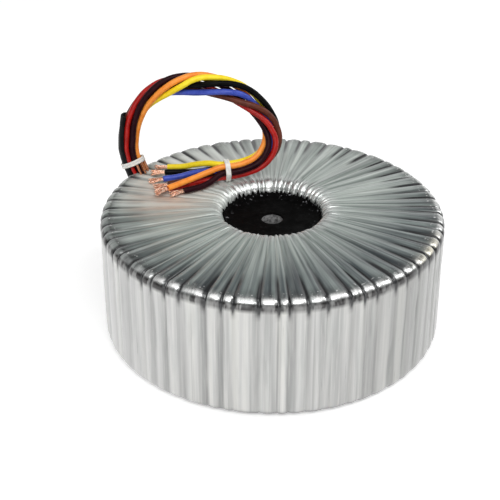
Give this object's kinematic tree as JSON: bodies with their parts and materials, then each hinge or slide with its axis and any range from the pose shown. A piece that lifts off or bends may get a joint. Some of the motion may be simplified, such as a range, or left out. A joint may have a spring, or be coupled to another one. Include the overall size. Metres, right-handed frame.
{
  "type": "toroidal transformer",
  "caption": "Toroidal mains transformer with a pleated clear film wrap, a black potted centre with a through hole, and coloured flying leads with bare copper ends",
  "frame": {"origin": "centre of the underside, on the axis of the ring, at the level of the body's lowest point", "axes": "+Z is the ring's axis, pointing up out of the face that the leads lie on. -Y points to the side opposite the hump of the leads, and +X completes the right-handed frame"},
  "size_m": [0.165, 0.165, 0.1135],
  "materials": {
    "core_steel": "rolled",
    "insulation_board": "matte",
    "enamel_primary": "satin",
    "polyester_tape": "satin",
    "enamel_secondary": "gloss",
    "clear_film": "gloss",
    "black_resin": "matte",
    "bush_metal": "matte",
    "sleeve_black": "satin",
    "tie_nylon": "satin",
    "pvc_orange": "satin",
    "pvc_yellow": "satin",
    "pvc_black": "satin",
    "pvc_blue": "satin",
    "pvc_brown": "satin",
    "pvc_red": "satin",
    "pvc_violet": "satin",
    "bare_copper": "polished"
  },
  "bodies": {
    "root": {"core": "core_steel", "core_ring_top": "insulation_board", "core_ring_bottom": "insulation_board", "core_band_inner": "insulation_board", "core_band_outer": "insulation_board", "primary_winding": "enamel_primary", "interwinding_tape": "polyester_tape", "secondary_winding": "enamel_secondary", "outer_wrap": "clear_film", "potting": "black_resin", "centre_bush": "bush_metal", "exit_sleeve": "sleeve_black", "winding_tails": "enamel_secondary", "exit_tie": "tie_nylon", "bundle_tie": "tie_nylon", "lead_orange": "pvc_orange", "lead_yellow": "pvc_yellow", "lead_black": "pvc_black", "lead_blue": "pvc_blue", "lead_brown": "pvc_brown", "lead_red": "pvc_red", "lead_violet": "pvc_violet", "strands_orange": "bare_copper", "strands_yellow": "bare_copper", "strands_black": "bare_copper", "strands_blue": "bare_copper", "strands_brown": "bare_copper", "strands_red": "bare_copper", "strands_violet": "bare_copper"}
  },
  "joints": []
}
